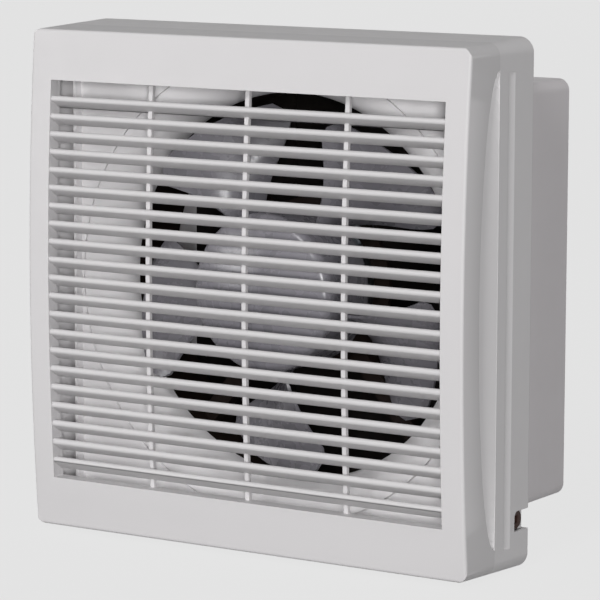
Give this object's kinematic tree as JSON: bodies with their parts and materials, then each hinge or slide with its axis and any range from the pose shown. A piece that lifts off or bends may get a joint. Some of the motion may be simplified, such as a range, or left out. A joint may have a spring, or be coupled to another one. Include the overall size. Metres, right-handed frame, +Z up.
{
  "type": "window exhaust fan",
  "caption": "Square window exhaust fan with a bowed pull-off louvre panel, bell-mouth orifice, bladed impeller on a motor, and a rear duct with linked shutters.",
  "frame": {"origin": "on the fan's axis in the wall plane, at the centre of the four wall fixings", "axes": "+X right seen from the room, +Y back through the wall, +Z up; the front faces -Y"},
  "size_m": [0.35, 0.1812, 0.35],
  "materials": {
    "panel_plastic": "semi-gloss",
    "body_plastic": "semi-gloss",
    "orifice_plastic": "satin",
    "fan_plastic": "semi-gloss",
    "brass": "machined",
    "ground_steel": "ground",
    "laminated_steel": "laminated",
    "copper_wire": "enamelled",
    "zinc_plated_steel": "zinc plated",
    "damper_rubber": "matte",
    "capacitor_case": "matte",
    "terminal_plastic": "matte",
    "shutter_plastic": "satin"
  },
  "bodies": {
    "housing": {"frame_body": "body_plastic", "orifice_plate": "orifice_plastic", "bell_mouth": "orifice_plastic", "rear_duct": "body_plastic", "stator_core": "laminated_steel", "stator_winding": "copper_wire", "motor_front_shield": "zinc_plated_steel", "motor_rear_shield": "zinc_plated_steel", "front_bearing": "ground_steel", "rear_bearing": "ground_steel", "motor_bolts": "zinc_plated_steel", "motor_dampers": "damper_rubber", "motor_screws": "zinc_plated_steel", "run_capacitor": "capacitor_case", "capacitor_clip": "zinc_plated_steel", "terminal_block": "terminal_plastic", "terminal_cover": "orifice_plastic", "plate_screws": "zinc_plated_steel", "duct_screws": "zinc_plated_steel"},
    "fan": {"impeller": "fan_plastic", "spinner": "fan_plastic", "impeller_nut": "brass", "motor_shaft": "ground_steel", "drive_pin": "ground_steel", "motor_rotor": "laminated_steel"},
    "grille": {"grille_panel": "panel_plastic"},
    "shutter_1": {"shutter_1": "shutter_plastic"},
    "shutter_2": {"shutter_2": "shutter_plastic"},
    "shutter_3": {"shutter_3": "shutter_plastic"},
    "shutter_4": {"shutter_4": "shutter_plastic"},
    "tie_bar": {"tie_bar": "shutter_plastic"}
  },
  "joints": [
    {"name": "fan_spin", "type": "hinge", "parent": "housing", "child": "fan", "pos_m": [0, 0, 0], "axis": [0, -1, 0], "continuous": true},
    {"name": "grille_pull", "type": "slide", "parent": "housing", "child": "grille", "axis": [0, -1, 0], "range_m": [0, 0.03]},
    {"name": "shutter_1_swing", "type": "hinge", "parent": "housing", "child": "shutter_1", "pos_m": [0, 0.082, 0.1265], "axis": [1, 0, 0], "range_deg": [0, 75]},
    {"name": "shutter_2_swing", "type": "hinge", "parent": "housing", "child": "shutter_2", "pos_m": [0, 0.082, 0.05975], "axis": [1, 0, 0], "range_deg": [0, 75]},
    {"name": "shutter_3_swing", "type": "hinge", "parent": "housing", "child": "shutter_3", "pos_m": [0, 0.082, -0.007], "axis": [1, 0, 0], "range_deg": [0, 75]},
    {"name": "shutter_4_swing", "type": "hinge", "parent": "housing", "child": "shutter_4", "pos_m": [0, 0.082, -0.07375], "axis": [1, 0, 0], "range_deg": [0, 75]},
    {"name": "tie_bar_pivot", "type": "hinge", "parent": "shutter_1", "child": "tie_bar", "pos_m": [0.109, 0.074, 0.1315], "axis": [1, 0, 0], "range_deg": [-75, 0]}
  ],
  "couplings": [
    {"joint": "shutter_2_swing", "follows": "shutter_1_swing", "ratio": 1},
    {"joint": "shutter_3_swing", "follows": "shutter_1_swing", "ratio": 1},
    {"joint": "shutter_4_swing", "follows": "shutter_1_swing", "ratio": 1},
    {"joint": "tie_bar_pivot", "follows": "shutter_1_swing", "ratio": -1}
  ]
}
